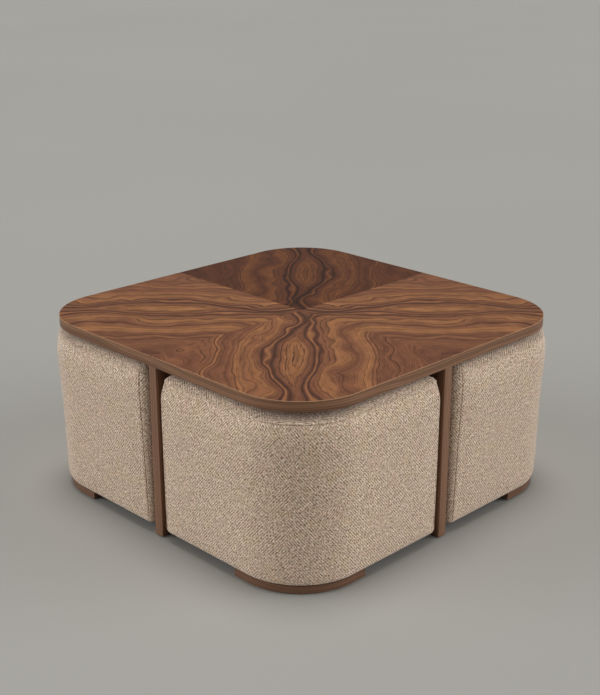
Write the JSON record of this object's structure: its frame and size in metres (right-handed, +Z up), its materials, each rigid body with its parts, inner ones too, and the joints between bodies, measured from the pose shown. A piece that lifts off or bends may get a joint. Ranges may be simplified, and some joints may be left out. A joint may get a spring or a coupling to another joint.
{
  "type": "center table with nesting poufs",
  "caption": "Rounded square coffee table in figured walnut veneer on crossed dividers, with upholstered poufs that park under each quarter and slide out.",
  "frame": {"origin": "on the floor under the middle of the tabletop", "axes": "+Z up; the straight sides of the tabletop run along X and Y, the dividers lie on both axes, and the front pouf of the picture is at +X -Y"},
  "size_m": [0.916, 0.916, 0.43],
  "materials": {
    "panel_board": "raw",
    "walnut_straight": "satin lacquer",
    "walnut_figured": "satin lacquer",
    "walnut_solid": "satin lacquer",
    "plywood": "raw",
    "glide_nylon": "matte",
    "woven_fabric": "woven",
    "foam": "open cell",
    "dust_cloth": "non-woven",
    "felt": "felt",
    "steel": "zinc plated"
  },
  "bodies": {
    "table": {"tabletop_core": "panel_board", "backing_veneer": "walnut_straight", "edge_band": "walnut_straight", "veneer_front": "walnut_figured", "veneer_right": "walnut_figured", "veneer_back": "walnut_figured", "veneer_left": "walnut_figured", "divider_slotted_above": "walnut_straight", "divider_slotted_below": "walnut_straight", "end_lippings": "walnut_solid", "floor_glides": "glide_nylon"},
    "front_pouf": {"front_cover_top": "woven_fabric", "front_cover_band": "woven_fabric", "front_seat_foam": "foam", "front_side_foam": "foam", "front_seat_board": "plywood", "front_box_walls": "plywood", "front_base_board": "plywood", "front_dust_cloth": "dust_cloth", "front_corner_foot": "walnut_solid", "front_inner_feet": "walnut_solid", "front_foot_pads": "felt", "front_foot_screws": "steel"},
    "right_pouf": {"right_cover_top": "woven_fabric", "right_cover_band": "woven_fabric", "right_seat_foam": "foam", "right_side_foam": "foam", "right_seat_board": "plywood", "right_box_walls": "plywood", "right_base_board": "plywood", "right_dust_cloth": "dust_cloth", "right_corner_foot": "walnut_solid", "right_inner_feet": "walnut_solid", "right_foot_pads": "felt", "right_foot_screws": "steel"},
    "back_pouf": {"back_cover_top": "woven_fabric", "back_cover_band": "woven_fabric", "back_seat_foam": "foam", "back_side_foam": "foam", "back_seat_board": "plywood", "back_box_walls": "plywood", "back_base_board": "plywood", "back_dust_cloth": "dust_cloth", "back_corner_foot": "walnut_solid", "back_inner_feet": "walnut_solid", "back_foot_pads": "felt", "back_foot_screws": "steel"},
    "left_pouf": {"left_cover_top": "woven_fabric", "left_cover_band": "woven_fabric", "left_seat_foam": "foam", "left_side_foam": "foam", "left_seat_board": "plywood", "left_box_walls": "plywood", "left_base_board": "plywood", "left_dust_cloth": "dust_cloth", "left_corner_foot": "walnut_solid", "left_inner_feet": "walnut_solid", "left_foot_pads": "felt", "left_foot_screws": "steel"}
  },
  "joints": [
    {"name": "front_pouf_slide", "type": "slide", "parent": "table", "child": "front_pouf", "axis": [0.7071, -0.7071, 0], "range_m": [0, 0.6]},
    {"name": "right_pouf_slide", "type": "slide", "parent": "table", "child": "right_pouf", "axis": [0.7071, 0.7071, 0], "range_m": [0, 0.6]},
    {"name": "back_pouf_slide", "type": "slide", "parent": "table", "child": "back_pouf", "axis": [-0.7071, 0.7071, 0], "range_m": [0, 0.6]},
    {"name": "left_pouf_slide", "type": "slide", "parent": "table", "child": "left_pouf", "axis": [-0.7071, -0.7071, 0], "range_m": [0, 0.6]}
  ]
}
